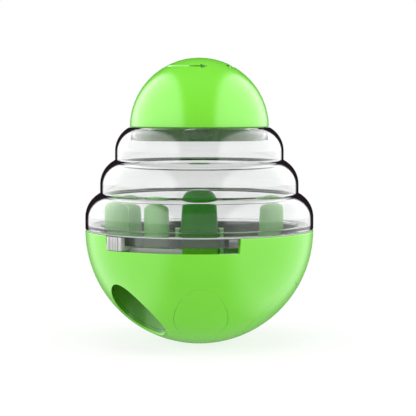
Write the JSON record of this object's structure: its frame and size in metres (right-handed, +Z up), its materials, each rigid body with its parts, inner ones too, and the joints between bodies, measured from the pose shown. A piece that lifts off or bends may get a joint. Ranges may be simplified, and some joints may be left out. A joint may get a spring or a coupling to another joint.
{
  "type": "treat dispensing roly-poly",
  "caption": "Self-righting pet toy that drops treats: weighted bowl with an outlet, clear stepped body, turning shutter and screw-off dome cap.",
  "frame": {"origin": "centre of the small flat under the bowl, where the ball stands", "axes": "+Z up along the axis of the bowl, body and cap; -Y towards the window in the rim, the front; +X to the right"},
  "size_m": [0.1, 0.1, 0.125],
  "materials": {
    "green_plastic": "glossy moulded",
    "light_green_plastic": "glossy moulded",
    "clear_plastic": "clear, polished",
    "silicone": "translucent, satin",
    "steel": "turned"
  },
  "bodies": {
    "base": {"lower_bowl": "green_plastic", "outlet_chute": "green_plastic", "front_plug": "green_plastic", "right_plug": "green_plastic", "ballast_weight": "steel", "ballast_cover": "green_plastic", "cover_screws": "steel", "maze_tray": "green_plastic", "tray_screw": "steel", "post_outer_left": "green_plastic", "post_rear_left": "green_plastic", "post_inner_left": "green_plastic", "post_rear": "green_plastic", "post_right": "green_plastic", "knob_column": "green_plastic", "centre_knob": "green_plastic", "knob_clips": "light_green_plastic"},
    "shutter": {"shutter_plate": "clear_plastic", "thumb_grip": "clear_plastic"},
    "gasket_carrier": {"rim_gasket": "silicone"},
    "upper_body": {"clear_body": "clear_plastic"},
    "seal_carrier": {"cap_seal": "silicone"},
    "cap": {"cap_collar": "green_plastic", "dome_cap": "green_plastic"}
  },
  "joints": [
    {"name": "shutter_turn", "type": "hinge", "parent": "base", "child": "shutter", "pos_m": [0, 0, 0.035], "axis": [0, 0, 1], "range_deg": [0, 28]},
    {"name": "body_lift", "type": "slide", "parent": "base", "child": "gasket_carrier", "axis": [0, 0, 1], "range_m": [0, 0.004]},
    {"name": "body_turn", "type": "hinge", "parent": "gasket_carrier", "child": "upper_body", "pos_m": [0, 0, 0.05], "axis": [0, 0, 1], "range_deg": [-30, 0]},
    {"name": "cap_lift", "type": "slide", "parent": "upper_body", "child": "seal_carrier", "axis": [0, 0, 1], "range_m": [0, 0.00533]},
    {"name": "cap_turn", "type": "hinge", "parent": "seal_carrier", "child": "cap", "pos_m": [0, 0, 0.0946], "axis": [0, 0, 1], "range_deg": [0, 80]}
  ],
  "couplings": [
    {"joint": "body_lift", "follows": "body_turn", "m_per_rad": -0.0076394},
    {"joint": "cap_lift", "follows": "cap_turn", "m_per_rad": 0.0038197}
  ]
}
